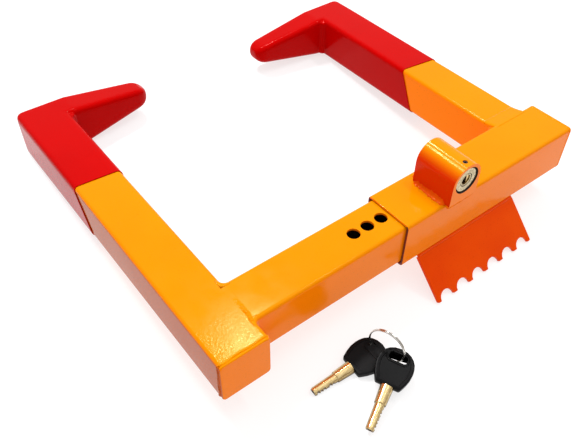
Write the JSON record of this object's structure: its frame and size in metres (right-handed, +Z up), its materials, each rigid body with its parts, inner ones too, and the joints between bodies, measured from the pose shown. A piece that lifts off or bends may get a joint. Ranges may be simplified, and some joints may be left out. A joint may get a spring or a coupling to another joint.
{
  "type": "wheel claw lock",
  "caption": "Two L-shaped claw arms on a telescoping square crossbar, pinned by a keyed bolt in an arched housing, with a toothed anti-roll plate and keys on a split ring.",
  "frame": {"origin": "middle of the bounding box, at floor level, with the lock lying as it stands on its plate's teeth and its claws", "axes": "+X along the crossbar from the sliding arm to the fixed arm, +Y from the crossbar towards the claws, +Z up"},
  "size_m": [0.3842, 0.4052, 0.1104],
  "materials": {
    "orange_enamel": "thick glossy orange-yellow enamel",
    "red_dip_coating": "glossy red dipped coating",
    "bare_steel": "machined steel",
    "nickel_plate": "bright nickel plate",
    "brass": "polished brass",
    "black_plastic": "semi-gloss moulded black plastic"
  },
  "bodies": {
    "crossbar": {"outer_tube": "orange_enamel", "outer_end_cap": "orange_enamel", "right_arm_tube": "orange_enamel", "right_claw": "bare_steel", "right_tip_coating": "red_dip_coating", "anti_roll_plate": "orange_enamel", "lock_housing": "orange_enamel", "lock_barrel": "nickel_plate", "lock_set_screw": "black_plastic"},
    "sliding_arm": {"inner_tube": "orange_enamel", "left_arm_tube": "orange_enamel", "left_arm_end_plate": "orange_enamel", "left_claw": "bare_steel", "left_tip_coating": "red_dip_coating"},
    "lock_plug": {"lock_plug": "nickel_plate", "side_bar": "bare_steel", "detainer_disc_1": "brass", "detainer_disc_2": "brass", "detainer_disc_3": "brass", "detainer_disc_4": "brass", "detainer_disc_5": "brass", "detainer_disc_6": "brass", "lock_cam": "bare_steel"},
    "locking_bolt": {"locking_bolt": "bare_steel"},
    "key_set": {"split_ring": "nickel_plate", "key_1_bow": "black_plastic", "key_1_blade": "brass"},
    "key_2": {"key_2_bow": "black_plastic", "key_2_blade": "brass"}
  },
  "joints": [
    {"name": "arm_slide", "type": "slide", "parent": "crossbar", "child": "sliding_arm", "axis": [1, 0, 0], "range_m": [-0.028, 0.084]},
    {"name": "plug_turn", "type": "hinge", "parent": "crossbar", "child": "lock_plug", "pos_m": [0.0446, -0.11484, 0.09538], "axis": [0, -0.995, 0.0999], "range_deg": [0, 90]},
    {"name": "bolt_slide", "type": "slide", "parent": "crossbar", "child": "locking_bolt", "axis": [0, -0.0999, -0.995], "range_m": [0, 0.008]},
    {"name": "keys_lift", "type": "slide", "parent": "crossbar", "child": "key_set", "axis": [0, 0, 1], "range_m": [0, 0.06]},
    {"name": "key_2_swing", "type": "hinge", "parent": "key_set", "child": "key_2", "pos_m": [-0.06041, -0.17248, 0.00007], "axis": [0, 0, 1], "range_deg": [-6, 30]}
  ],
  "couplings": [
    {"joint": "bolt_slide", "follows": "plug_turn", "m_per_rad": 0.00509}
  ]
}
